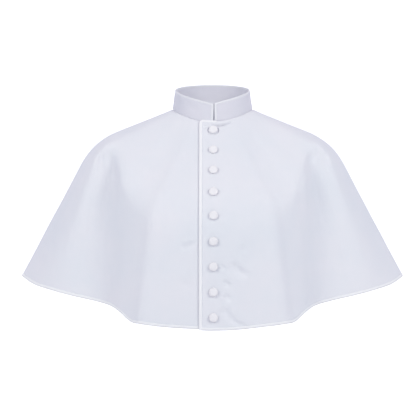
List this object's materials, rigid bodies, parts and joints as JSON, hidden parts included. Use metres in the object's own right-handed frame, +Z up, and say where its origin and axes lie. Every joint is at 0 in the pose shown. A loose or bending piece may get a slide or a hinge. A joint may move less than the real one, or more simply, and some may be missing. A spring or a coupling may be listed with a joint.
{
  "type": "clergy shoulder cape",
  "caption": "Shoulder cape with a standing collar, a lapped front closed by domed buttons, piped edges and a softly folded body that flares to a curved hem.",
  "frame": {"origin": "the middle of the neck opening, level with the collar seam at the shoulders, where the wearer holds the cape up", "axes": "+Z up, -Y the way the wearer faces, +X the wearer's left"},
  "size_m": [0.7618, 0.3513, 0.4838],
  "materials": {
    "cape_cloth": "matt, slightly bluish white woven cloth",
    "piping_cloth": "soft sheen, white binding",
    "button_cloth": "matt, white cloth drawn tight over a dome"
  },
  "bodies": {
    "root": {"left_front": "cape_cloth", "right_front": "cape_cloth", "back": "cape_cloth", "collar": "cape_cloth", "collar_piping": "piping_cloth", "lap_piping": "piping_cloth", "hem_piping": "piping_cloth", "button_1": "button_cloth", "button_2": "button_cloth", "button_3": "button_cloth", "button_4": "button_cloth", "button_5": "button_cloth", "button_6": "button_cloth", "button_7": "button_cloth", "button_8": "button_cloth", "button_9": "button_cloth"}
  },
  "joints": []
}
